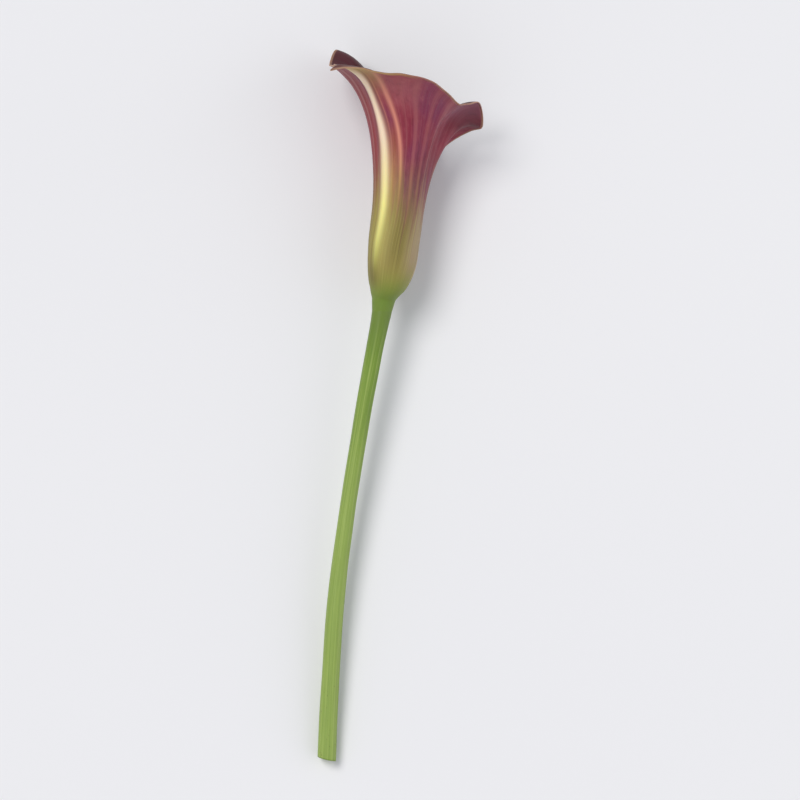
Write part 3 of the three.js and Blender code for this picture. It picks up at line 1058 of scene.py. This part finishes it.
    def middle(self) -> dict[str, np.ndarray]:
        """The middle of the sheet as a grid of rows by columns, with what is stored at each point."""
        across = np.linspace(-1, 1, self.columns)
        bearing = self.end_bearing * np.sign(across) * np.abs(across) ** self.tip_crowding
        radius, height, length = self._columns(bearing)
        stations = self._stations(length)
        run = stations - self.skirt
        bearing = np.broadcast_to(bearing, run.shape)
        opened = smooth(run, 0, self.overlap_length)
        spread = bearing * mix(self.foot_half / self.end_bearing, 1, opened)
        lapped = mix(self.overlap_foot, 1, smooth(run, 0, self.overlap_rise))
        offset = (np.sign(bearing) * self.overlap_offset / 2 * lapped
                  * smooth(np.abs(bearing), *self.overlap_side))
        midrib = mix(self.midrib_foot, self.midrib_top, smooth(height, 0, self.midrib_rise))
        turn = np.radians(midrib + spread)
        drawn_in = self.waist * bell(height, *self.waist_place) * smooth(height, *self.waist_start)
        out = radius + offset - drawn_in * np.maximum(np.sin(turn), 0) ** 2
        upright = np.stack([out * np.sin(turn) + self._lateral(height), -out * np.cos(turn), height], -1)
        point = POSE.lay(POSE.tilt(upright))
        point[..., 2] += self._push(point[-1, :, 2]) * (stations / length) ** 3
        return {"point": point, "bearing": bearing, "run": run, "height": height,
                "label": self._label(bearing, run), "edge": self._edge_distance(point, bearing),
                "tip": np.linalg.norm(point - point[-1, self.columns // 2], axis=-1)}

    def _push(self, rim_height: np.ndarray) -> np.ndarray:
        """How far each column's rim is pushed up by the surface it rests on."""
        above = rim_height - self.rim_rest
        eased = (self.rim_softness - above) ** 2 / (4 * self.rim_softness)
        return np.select([above > self.rim_softness, above < -self.rim_softness], [0, -above], eased)

    def _label(self, bearing: np.ndarray, run: np.ndarray) -> np.ndarray:
        """Which vein a point lies on, as the bearing that the vein would have if it ran straight up."""
        share = np.abs(bearing) / self.bend_label
        bent = np.sign(bearing) * self.bend * share * np.exp(1 - share) * smooth(run, *self.bend_span)
        drift = self.drift * (1 - smooth(run, *self.drift_span))
        return bearing + bent - drift - sum(size * bell(run, *place) for size, *place in self.drifts)

    def _edge_distance(self, point: np.ndarray, bearing: np.ndarray) -> np.ndarray:
        """How far each point of the sheet is from the rim and margin of its own side, not those it laps."""
        distance = np.empty(bearing.shape)
        for side in (-1, 1):
            margin = point[:-1, 0 if side < 0 else -1]
            rim = np.concatenate([margin, point[-1, side * bearing[-1] > -self.past_midrib]])
            tree = kdtree.KDTree(len(rim))
            for k, place in enumerate(rim):
                tree.insert(place, k)
            tree.balance()
            own = side * bearing >= 0
            distance[own] = [tree.find(place)[2] for place in point[own]]
        return distance

    @staticmethod
    def _normals(point: np.ndarray) -> np.ndarray:
        """The sheet's outward direction at each point."""
        return unit(np.cross(np.gradient(point, axis=1), np.gradient(point, axis=0)))

    def _wave(self, grid: dict[str, np.ndarray]) -> None:
        """Gives the middle of the sheet its slow waves, flutes and frill, in place."""
        bearing, run = grid["bearing"], grid["run"]
        limb = smooth(run, *self.waves_span)
        waves = self.waves.read(bearing, run) * limb
        flutes = self.flutes.read(grid["label"], run) * smooth(run, *self.flutes_span)
        frill = self.frill.read(bearing, run) * smooth(grid["edge"], *self.frill_reach) * limb
        amount = (waves + flutes + frill) * smooth(grid["point"][..., 2], *self.resting)
        grid["point"] = grid["point"] + self._normals(grid["point"]) * amount[..., None]

    def _faces(self, grid: dict[str, np.ndarray]) -> tuple[np.ndarray, np.ndarray]:
        """The sheet's outer and inner face, with the midrib's ridge and groove and the fine veins."""
        label, run, edge = grid["label"], grid["run"], grid["edge"]
        body = smooth(edge, 0, self.edge_taper)
        wall = mix(self.edge, self.wall, body)
        wall = mix(self.foot_edge, wall, smooth(run, -self.skirt, self.foot_taper - self.skirt))
        veins = self.veins.read(label, run) * smooth(run, *self.veins_span)
        ridge, groove = (depth * bell(label, 0, width) * smooth(run, *span) for (depth, width), span in
                         ((self.ridge, self.ridge_span), (self.groove, self.groove_span)))
        normal = self._normals(grid["point"])
        outer = grid["point"] + normal * (wall / 2 + (ridge + veins) * body)[..., None]
        inner = grid["point"] - normal * (wall / 2 + (veins - groove) * body)[..., None]
        return outer, inner

    def _border(self) -> tuple[np.ndarray, np.ndarray]:
        """The sheet's border, once round, as row and column numbers."""
        rows, columns = self.rows - 1, self.columns - 1
        loop = [(0, j) for j in range(columns)] + [(i, columns) for i in range(rows)]
        loop += [(rows, j) for j in range(columns, 0, -1)] + [(i, 0) for i in range(rows, 0, -1)]
        i, j = np.array(loop).T
        return i, j

    def build(self) -> None:
        """Makes the spathe: the sheet's two faces, joined by a half-round strip along its whole border."""
        grid = self.middle()
        self._wave(grid)
        outer, inner = self._faces(grid)
        stored = {key: grid[key] for key in ("label", "run", "height", "edge", "tip")}
        shell = Shell()
        shape = outer.shape[:2]
        rings = [shell.add_points(outer, inside=0.0, **stored).reshape(shape)]
        last = shell.add_points(inner, inside=1.0, **stored).reshape(shape)
        shell.add_grid(rings[0])
        shell.add_grid(last[:, ::-1])
        i, j = self._border()
        middle, reach = (outer + inner)[i, j] / 2, (outer - inner)[i, j] / 2
        along = np.roll(middle, -1, 0) - np.roll(middle, 1, 0)
        near = [np.clip(at, self.inset, size - 1 - self.inset) for at, size in zip((i, j), shape)]
        inward = grid["point"][near[0], near[1]] - middle
        away = unit(np.cross(along, reach))
        away *= -np.sign(np.einsum("ij,ij->i", away, inward))[:, None]
        away *= np.linalg.norm(reach, axis=1, keepdims=True)
        strip = [rings[0][i, j]]
        for k in range(1, self.edge_steps):
            angle = math.pi * k / self.edge_steps
            place = middle + reach * math.cos(angle) + away * math.sin(angle)
            turned = float(smooth(k / self.edge_steps, *self.edge_turn))
            here = {key: value[i, j] for key, value in stored.items()}
            strip.append(shell.add_points(place, inside=turned, **here))
        strip.append(last[i, j])
        shell.add_grid(np.array(strip), closed=True)
        hand_over(shell.make("spathe_sheet", [self.finish.material()]), "spathe")


# ----------------------------------------------------------------------------------------------------------
# The stem
# ----------------------------------------------------------------------------------------------------------

@dataclass(frozen=True)
class StalkFinish(Finish):
    """The stem's waxy green skin, with pale streaks along it and a few small dark specks near the cut."""

    green: Colour = srgb(116, 146, 46)
    deep: Colour = srgb(86, 122, 30)
    streak: Colour = srgb(172, 192, 102)
    neck: Colour = srgb(109, 132, 52)
    pale_end: Colour = srgb(170, 190, 104)
    speck: Colour = srgb(92, 78, 40)
    # How far down the stem it pales, the neck ends, the specks begin, and the relief begins.
    pale_span: Pair = (10, 90)
    neck_span: Pair = (26, 4)
    speck_span: Pair = (120, 170)
    relief_span: Pair = (2, 20)

    name = "stalk_skin"
    shine = Shine(coat=0.06, coat_roughness=0.3, through=0.12, depth=0.001, scatter=(0.8, 0.8, 0.3),
                  gloss=0.34)

    def paint(self, nodes: Nodes) -> Look:
        """Streaks that run along the stem, on a ground that pales towards the cut."""
        east, north, run = nodes.reads("east"), nodes.reads("north"), nodes.reads("run")
        streaks = nodes.noise(nodes.point(east * 4, north * 4, run * 0.012), 1.0, 3.0, 0.6)
        threads = nodes.noise(nodes.point(east * 16, north * 16, run * 0.03), 1.0, 3.0, 0.6)
        clouds = nodes.noise(nodes.point(east, north, run * 0.045), 1.0, 2.0)
        specks = nodes.noise(nodes.point(east * 6, north * 6, run * 0.9), 1.0, 1.0)
        colour = nodes.blend(clouds.step(0.35, 0.7) * 0.45, self.green, self.deep)
        colour = nodes.blend(run.step(*self.pale_span) * 0.5, colour, self.pale_end)
        colour = nodes.blend(streaks.step(0.46, 0.68) * 0.6, colour, self.streak)
        colour = nodes.blend(threads.step(0.5, 0.75) * 0.4, colour, self.deep)
        colour = nodes.blend(run.step(*self.neck_span), colour, self.neck)
        specked = specks.step(0.72, 0.76) * run.step(*self.speck_span) * 0.7
        colour = nodes.blend(specked, colour, self.speck)
        relief = (threads * 0.6 + streaks * 0.4) * run.step(*self.relief_span)
        return Look(colour, 0.4 + 0.2 * threads, relief, 0.00025)


@dataclass(frozen=True)
class FleshFinish(Finish):
    """The moist pale flesh of the cut face, finely porous, with the green skin showing round its rim."""

    flesh: Colour = srgb(218, 226, 172)
    moist: Colour = srgb(188, 204, 130)
    pore: Colour = srgb(136, 156, 84)
    skin: Colour = srgb(118, 148, 62)

    name = "cut_flesh"
    shine = Shine(coat=0.35, coat_roughness=0.18, through=0.3, depth=0.002, scatter=(0.7, 1.0, 0.4))

    def paint(self, nodes: Nodes) -> Look:
        """Small pores over soft clouds."""
        place = nodes.add("ShaderNodeTexCoord").out("Object")
        cells = nodes.add("ShaderNodeTexVoronoi", {"feature": "F1"}, {"Vector": place, "Scale": 3600.0})
        clouds, out = nodes.noise(place, 700.0), nodes.reads("out")
        open_pore = cells.step(0.34, 0.16) * out.step(0.94, 0.8)
        colour = nodes.blend(clouds.step(0.35, 0.7) * 0.4, self.flesh, self.moist)
        colour = nodes.blend(open_pore * 0.75, colour, self.pore)
        colour = nodes.blend(out.step(0.8, 0.9) * 0.5, colour, self.moist)
        colour = nodes.blend(out.step(0.9, 0.98), colour, self.skin)
        return Look(colour, 0.3 + 0.2 * clouds, 1 - open_pore, 0.0001)


@dataclass(frozen=True)
class FibreFinish(Finish):
    """The ends of the strands that run up the stem."""

    light: Colour = srgb(226, 228, 178)
    dark: Colour = srgb(170, 178, 108)

    name = "strand_ends"
    shine = Shine(through=0.2, scatter=(0.7, 1.0, 0.4))

    def paint(self, nodes: Nodes) -> Look:
        """Pale tops, darker where they leave the flesh."""
        rise = nodes.reads("rise")
        grain = nodes.noise(nodes.add("ShaderNodeTexCoord").out("Object"), 4000.0)
        colour = nodes.blend(rise.step(0.05, 0.3), self.dark, self.light)
        return Look(colour, 0.45 + 0.1 * grain, grain, 0.00005)


@dataclass
class Stem:
    """The stem: a slightly bent stalk from the cut end up to the seat that carries the spadix."""

    # The middle of the stalk, as x and z.
    line: Rows = ((-1.0, -0.7), (-1.6, -5), (-4.5, -20), (-9.5, -48), (-15, -83), (-19, -115), (-21.2, -148),
                  (-22.4, -174))
    # Its radius, at each share of its length.
    radii: Rows = ((0, 3.4), (0.008, 3.62), (0.02, 3.74), (0.03, 3.68), (0.045, 3.52), (0.07, 3.37),
                   (0.12, 3.24), (0.4, 3.0), (0.7, 3.3), (1, 3.52))
    # Low ribs round it: height, number and turn. They and the slow swell begin below its top.
    ribs: Rows = ((0.05, 9, 0), (0.03, 5, 1.3))
    swell: Waves = Waves(0.05, 1 / 6, 4, 31)
    uneven_span: Pair = (0.01, 0.08)
    sides: int = 56
    rings: int = 250
    samples: int = 900
    seat: Rows = ((3.4, 0.12), (2.6, 0.3), (2.15, 0.9), (1.95, 1.45), (1.5, 1.6), (0.8, 1.62))
    # The cut: how steep it is and which way, the share of the stem's length it bends, and how soft it rests.
    slant: float = 0.22
    slant_turn: float = 0.6
    slant_span: Pair = (0.97, 1)
    rest_softness: float = 0.03
    # Its face: how deep it is dished inside the skin, where that begins, and its unevenness.
    dish: float = 0.3
    dish_start: float = 0.985
    pith: Waves = Waves(0.07, 1, 1, 41)
    cut_rings: int = 9
    finish: Finish = field(default_factory=StalkFinish)
    flesh: Finish = field(default_factory=FleshFinish)
    fibres: Copies = Copies("strand_tree", Sites.FACES, (Ball((0, 0, 0.05), (1, 1, 0.5)),), width=0.17,
                            uneven=0.35, spacing=0.55, seed=4, segments=7, rings=4)

    def _middle(self) -> tuple[np.ndarray, float]:
        """Evenly spaced points along the middle of the stalk from the top down, and its length."""
        path = np.array(self.line, float)
        knots = lengths(*path.T)
        x, z = read_curve(np.column_stack([knots, path]), np.linspace(0, knots[-1], self.samples))
        run = lengths(x, z)
        even = np.linspace(0, run[-1], self.rings)
        return np.stack([np.interp(even, run, x), np.zeros(self.rings), np.interp(even, run, z)], -1), run[-1]

    def build(self) -> None:
        """Makes the stem, and the strand ends on its cut face."""
        line, length = self._middle()
        share = np.linspace(0, 1, self.rings)
        angle = 2 * math.pi * np.arange(self.sides) / self.sides
        ring = {"east": np.cos(angle), "north": np.sin(angle)}
        depth = np.array([0.0, 1.0, 0.0])
        down = unit(np.gradient(line, axis=0))
        sideways = unit(np.cross(depth, down))
        ribs = sum(height * np.cos(count * angle + turn) for height, count, turn in self.ribs)
        uneven = ribs + self.swell.read(share[:, None], np.cos(angle)[None])
        radius = read_curve(self.radii, share)[0][:, None]
        radius = radius + uneven * smooth(share, *self.uneven_span)[:, None]
        spoke = np.cos(angle)[:, None] * sideways[:, None] + np.sin(angle)[:, None] * depth
        side = line[:, None] + radius[..., None] * spoke
        slanted = self.slant * np.cos(angle - self.slant_turn)
        tipped = radius * slanted * smooth(share, *self.slant_span)[:, None]
        side = self._settle(POSE.lay(side - tipped[..., None] * down[:, None]))
        shell = Shell()
        stored = {key: np.tile(value, self.rings) for key, value in ring.items()}
        grid = shell.add_points(side, run=np.repeat(share * length, self.sides), out=1.0, cut=0.0, **stored)
        grid = grid.reshape(self.rings, self.sides)
        shell.add_grid(grid, closed=True)
        self._add_seat(shell, grid[0], ring)
        out_way = POSE.lay(line[-1] + down[-1]) - POSE.lay(line[-1])
        self._add_cut(shell, grid[-1], side[-1], out_way, length, ring)
        piece = shell.make("stem_stalk", [self.finish.material(), self.flesh.material()])
        strands = self.fibres.grow("stem_strand_ends", piece, FibreFinish())
        hand_over(piece, "stem")
        hand_over(strands, "stem")

    def _settle(self, points: np.ndarray) -> np.ndarray:
        """Flattens the side that rests on the floor, so that nothing reaches below it."""
        settled = points.copy()
        settled[..., 2] = soft_max(points[..., 2], 0.0, self.rest_softness)
        return settled

    def _add_seat(self, shell: Shell, rim: np.ndarray, ring: dict[str, np.ndarray]) -> None:
        """Closes the top with the seat that carries the spadix.

        Args:
            shell: the stem so far.
            rim: its top ring's numbers.
            ring: what is stored round the ring.
        """
        top = np.array([self.line[0][0], 0, self.line[0][1]])
        rings = [rim]
        for radius, rise in self.seat:
            level = np.full(self.sides, rise)
            place = POSE.tilt(np.stack([radius * ring["east"], radius * ring["north"], level], -1)) + top
            rings.append(shell.add_points(POSE.lay(place), run=0.0, out=1.0, cut=0.0, **ring))
        shell.add_grid(np.array(rings), closed=True)
        centre = shell.points[-1].mean(0)
        middle = shell.add_points(centre, run=0.0, out=1.0, cut=0.0, east=0.0, north=0.0)
        self._add_fan(shell, rings[-1], middle, 0)

    def _add_cut(self, shell: Shell, rim: np.ndarray, places: np.ndarray, out_way: np.ndarray, length: float,
                 ring: dict[str, np.ndarray]) -> None:
        """Closes the lower end with the cut face, slightly dished inside its skin.

        Args:
            shell: the stem so far.
            rim: its last ring's numbers.
            places: that ring's points.
            out_way: the direction that the face looks.
            length: of the stem.
            ring: what is stored round the ring.
        """
        centre = places.mean(0)
        rings = [rim]
        for k in range(self.cut_rings):
            out = self.dish_start * (1 - k / self.cut_rings)
            hollow = self.dish * (1 - out ** 5)
            uneven = self.pith.read(out * ring["east"], out * ring["north"]) * (1 - out ** 4)
            place = mix(centre, places, out) - out_way * (hollow + uneven)[:, None]
            rings.append(shell.add_points(place, run=length, out=out, cut=float(k > 0), **ring))
        shell.add_grid(np.array(rings[:2]), closed=True)
        shell.add_grid(np.array(rings[1:]), kind=1, closed=True)
        middle = shell.add_points(shell.points[-1].mean(0), run=length, out=0.0, cut=1.0, east=0.0, north=0.0)
        self._add_fan(shell, rings[-1], middle, 1)

    @staticmethod
    def _add_fan(shell: Shell, rim: np.ndarray, middle: np.ndarray, kind: int) -> None:
        """Closes a ring with triangles to its middle."""
        corners = [rim, np.roll(rim, -1), *np.broadcast_to(middle, (2, len(rim)))]
        shell.add_faces(np.stack(corners, -1), kind)


# ----------------------------------------------------------------------------------------------------------
# The spadix
# ----------------------------------------------------------------------------------------------------------

@dataclass(frozen=True)
class FloretFinish(Finish):
    """The florets' grainy skin: pale green below, golden with pollen above, with painted shade at each
    floret's foot.
    """

    seed: Colour = srgb(196, 206, 122)
    seed_shaded: Colour = srgb(128, 142, 62)
    pollen: Colour = srgb(252, 206, 112)
    pollen_shaded: Colour = srgb(206, 126, 48)
    # The heights over which the one turns into the other, and how far that wanders.
    golden_span: Pair = (12.2, 13.4)
    golden_wander: float = 2

    name = "floret_grain"
    shine = Shine(sheen=0.15, through=0.2)

    def paint(self, nodes: Nodes) -> Look:
        """Lit tops and painted shade in the gaps at each floret's foot, with grains of pollen."""
        height, rise = nodes.reads("height"), nodes.reads("rise")
        place = nodes.add("ShaderNodeTexCoord").out("Object")
        broad, grain = nodes.noise(place, 350.0), nodes.noise(place, 3200.0, 2.0, 0.7)
        golden = (height + (broad - 0.5) * self.golden_wander).step(*self.golden_span)
        # Painted shade at each floret's foot, its lit colour on top; the shaded colours also darken broad
        # random patches.
        light = nodes.blend(golden, self.seed, self.pollen)
        deep = nodes.blend(golden, self.seed_shaded, self.pollen_shaded)
        colour = nodes.blend(rise.step(0.0, 0.42), deep, light)
        colour = nodes.blend(broad.step(0.4, 0.75) * 0.35, colour, deep)
        colour = nodes.blend(grain.step(0.55, 0.8) * 0.4, colour, light)
        return Look(colour, 0.5 + 0.35 * golden, grain, 0.00008)


@dataclass
class Spadix:
    """The rod of florets inside the tube: pistils round its foot, then paired anthers up to its tip."""

    # Height and radius of the florets' tops.
    profile: Rows = ((0, 2.1), (1.2, 2.7), (4, 3.0), (9, 3.0), (12, 2.75), (13, 2.45), (16, 2.6), (24, 2.6),
                     (31, 2.35), (35, 1.9), (37.2, 1.15), (37.8, 0.62), (38, 0.05))
    foot: float = 1.2
    # How deep the florets are sunk in the rod, and the radius over which that comes in from the tip.
    sunk: float = 0.4
    sunk_span: Pair = (0, 0.9)
    # Where the pistils start, where they end, and the bare ring above them.
    start: float = 0.5
    change: float = 12.7
    bare: float = 0.3
    length: float = 38
    # How close the florets stand, in their own widths.
    closeness: float = 0.93
    samples: int = 1200
    # The rod's ends, against the florets' foot and tip.
    core_ends: Pair = (-0.4, -0.3)
    core_sides: int = 24
    core_rings: int = 64
    finish: Finish = field(default_factory=FloretFinish)
    pistils: Copies = Copies("pistil_tree", Sites.POINTS, (
        Ball((0, 0, 0.05), (1.0, 1.0, 0.62)), Ball((0, 0, 0.36), (0.24, 0.24, 0.4)),
        Ball((0, 0, 0.5), (0.4, 0.4, 0.16))), width=1.75, uneven=0.1, seed=7)
    anthers: Copies = Copies("anther_tree", Sites.POINTS, (
        Ball((0.23, 0, 0.1), (0.52, 0.88, 0.62)), Ball((-0.23, 0, 0.1), (0.52, 0.88, 0.62))),
        width=0.98, uneven=0.12, seed=9)

    def _outline(self, low: float, high: float) -> tuple[np.ndarray, np.ndarray]:
        """Heights along a stretch of the rod and its radius there, under the florets' tops."""
        z = np.linspace(low, high, self.samples)
        radius = read_curve(self.profile, np.clip(z, 0, self.length))[0]
        return z, np.maximum(radius - self.sunk * smooth(radius, *self.sunk_span), 0.0)

    def _sites(self, low: float, high: float, spacing: float) -> bpy.types.Object:
        """A point for each floret, in the two-way spirals in which they grow.

        Args:
            low: where the stretch starts.
            high: where it ends.
            spacing: between neighbours, in millimetres.

        Returns:
            A mesh of points that store the way they face, and their height.
        """
        z, radius = self._outline(low, high)
        run = lengths(radius, z)
        area = lengths(np.cumsum(2 * math.pi * radius * np.gradient(run)))
        cell = HEXAGON * spacing ** 2
        at = np.arange(cell / 2, area[-1], cell)
        height, r = np.interp(at, area, z), np.interp(at, area, radius)
        lift, taper = (np.interp(at, area, np.gradient(v, run)) for v in (z, radius))
        turn = GOLDEN_ANGLE * np.arange(len(at))
        place = np.stack([r * np.cos(turn), r * np.sin(turn), height + self.foot], -1)
        way = unit(np.stack([lift * np.cos(turn), lift * np.sin(turn), -taper], -1))
        mesh = bpy.data.meshes.new("sites")
        mesh.from_pydata((POSE.lay(POSE.tilt(place)) * MM).tolist(), [], [])
        mesh.attributes.new("way", "FLOAT_VECTOR", "POINT").data.foreach_set("vector", POSE.turn(way).ravel())
        mesh.attributes.new("height", "FLOAT", "POINT").data.foreach_set("value", height)
        sites = bpy.data.objects.new("sites", mesh)
        bpy.context.scene.collection.objects.link(sites)
        return sites

    def _core(self) -> bpy.types.Object:
        """The rod that the florets stand on, from inside the stem's seat to the tip."""
        z, radius = self._outline(self.core_ends[0], self.length + self.core_ends[1])
        heights = np.linspace(z[0], z[-1], self.core_rings)
        radius = np.interp(heights, z, radius)
        turn = 2 * math.pi * np.arange(self.core_sides) / self.core_sides
        place = np.stack([np.outer(radius, np.cos(turn)), np.outer(radius, np.sin(turn)),
                          np.repeat(heights[:, None] + self.foot, self.core_sides, 1)], -1)
        shell = Shell()
        spread = np.repeat(heights, self.core_sides)
        grid = shell.add_points(POSE.lay(POSE.tilt(place)), height=spread, rise=0.0)
        grid = grid.reshape(self.core_rings, self.core_sides)
        shell.add_grid(grid, closed=True)
        for end in (0, -1):
            axis = np.array([0, 0, heights[end] + self.foot])
            middle = shell.add_points(POSE.lay(POSE.tilt(axis)), height=heights[end], rise=0.0)
            corners = [grid[end], np.roll(grid[end], -1), *np.broadcast_to(middle, (2, self.core_sides))]
            faces = np.stack(corners, -1)
            shell.add_faces(faces[:, [1, 0, 2, 3]] if end == 0 else faces)
        return shell.make("core", [])

    def build(self) -> None:
        """Makes the spadix: the pistils, and the anthers with the rod."""
        for copies, low, high, core in ((self.pistils, self.start, self.change, None),
                                        (self.anthers, self.change + self.bare, self.length, self._core())):
            sites = self._sites(low, high, copies.width * self.closeness)
            name = "spadix_pistils" if core is None else "spadix_anthers"
            piece = copies.grow(name, sites, self.finish, core)
            bpy.data.objects.remove(sites)
            hand_over(piece, "spadix")


# ----------------------------------------------------------------------------------------------------------
# The studio
# ----------------------------------------------------------------------------------------------------------

@dataclass(frozen=True)
class FloorFinish(Finish):
    """A plain pale matt floor."""

    light: Colour = srgb(240, 240, 242)
    shade: Colour = srgb(236, 236, 239)

    name = "pale_floor"
    shine = Shine(gloss=0.1)

    def paint(self, nodes: Nodes) -> Look:
        """One pale colour, hardly varied."""
        clouds = nodes.noise(nodes.add("ShaderNodeTexCoord").out("Object"), 3.0)
        return Look(nodes.blend(clouds, self.light, self.shade), 0.8 + 0.1 * clouds, clouds, 0.00001)


@dataclass(frozen=True)
class Lamp:
    """A broad soft light, far away in one direction; its breadth is the angle that it fills."""

    name: str
    toward: Triple
    breadth: float
    power: float
    tint: Triple


@dataclass
class Studio:
    """The plain pale floor, the soft lights, and the camera square on the flower's flat side."""

    floor_size: float = 30.0
    distance: float = 4.0
    covers: float = 0.302
    sensor: float = 36.0
    sky: Colour = (0.93, 0.95, 1.0, 1.0)
    sky_strength: float = 0.45
    lamps: tuple[Lamp, ...] = (
        Lamp("key", (-0.45, 0.35, 1.0), 30.0, 1.7, (1.0, 0.985, 0.96)),
        Lamp("fill", (0.95, -0.15, 0.6), 60.0, 0.55, (0.98, 0.98, 1.0)))
    finish: Finish = field(default_factory=FloorFinish)

    def build(self) -> None:
        """Makes the floor, the lights and the camera."""
        scene = bpy.context.scene
        scene.view_settings.view_transform = "Standard"
        centre = (CAD_BOX[0] + CAD_BOX[1]) / 2
        half = self.floor_size / 2
        mesh = bpy.data.meshes.new("floor")
        mesh.from_pydata([(-half, -half, 0), (half, -half, 0), (half, half, 0), (-half, half, 0)], [],
                         [(0, 1, 2, 3)])
        mesh.materials.append(self.finish.material())
        floor = bpy.data.objects.new("floor", mesh)
        scene.collection.objects.link(floor)
        for lamp in self.lamps:
            light = bpy.data.lights.new(lamp.name, "SUN")
            light.energy, light.angle, light.color = lamp.power, math.radians(lamp.breadth), lamp.tint
            thing = bpy.data.objects.new(lamp.name, light)
            thing.rotation_euler = Vector(lamp.toward).to_track_quat("Z", "Y").to_euler()
            scene.collection.objects.link(thing)
        world = bpy.data.worlds.new("sky")
        world.use_nodes = True
        nodes = Nodes(world.node_tree)
        glow = nodes.add("ShaderNodeBackground", inputs={"Color": self.sky, "Strength": self.sky_strength})
        nodes.add("ShaderNodeOutputWorld", inputs={"Surface": glow})
        scene.world = world
        lens = bpy.data.cameras.new("camera")
        lens.sensor_width, lens.lens = self.sensor, self.sensor * self.distance / self.covers
        camera = bpy.data.objects.new("camera", lens)
        camera.location = centre + POSE.facing() * self.distance
        camera.rotation_euler = (-POSE.facing()).to_track_quat("-Z", "Y").to_euler()
        scene.collection.objects.link(camera)
        scene.camera = camera


def main() -> None:
    """Builds the flower and the studio."""
    logging.basicConfig(level=logging.INFO, format="%(message)s")
    Studio().build()
    Stem().build()
    Spathe().build()
    Spadix().build()


if __name__ == "__main__":
    main()
